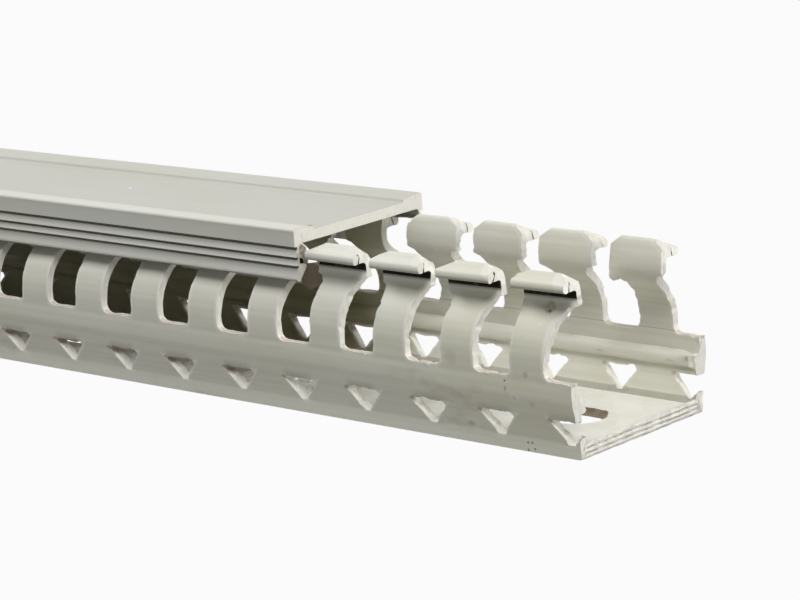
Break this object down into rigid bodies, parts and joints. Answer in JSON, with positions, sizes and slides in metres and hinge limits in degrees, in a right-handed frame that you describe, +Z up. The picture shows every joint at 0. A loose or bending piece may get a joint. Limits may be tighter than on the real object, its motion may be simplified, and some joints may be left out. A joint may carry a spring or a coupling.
{
  "type": "slotted wire duct",
  "caption": "Slotted plastic wire duct with hooked fingers, triangular wall holes and a clip-on cover slid partly back from its sawn end.",
  "frame": {"origin": "middle of the underside of the duct's floor", "axes": "+X along the duct to the sawn end from which the cover is slid back, +Y across it, +Z up out of the floor"},
  "size_m": [0.5505, 0.0292, 0.0271],
  "materials": {
    "duct_pvc": "light grey PVC, slightly green, satin",
    "cover_pvc": "light grey PVC, satin"
  },
  "bodies": {
    "duct": {"duct_base": "duct_pvc"},
    "cover": {"cover": "cover_pvc"}
  },
  "joints": [
    {"name": "cover_slide", "type": "slide", "parent": "duct", "child": "cover", "axis": [1, 0, 0], "range_m": [-0.4, 0.0505]}
  ]
}
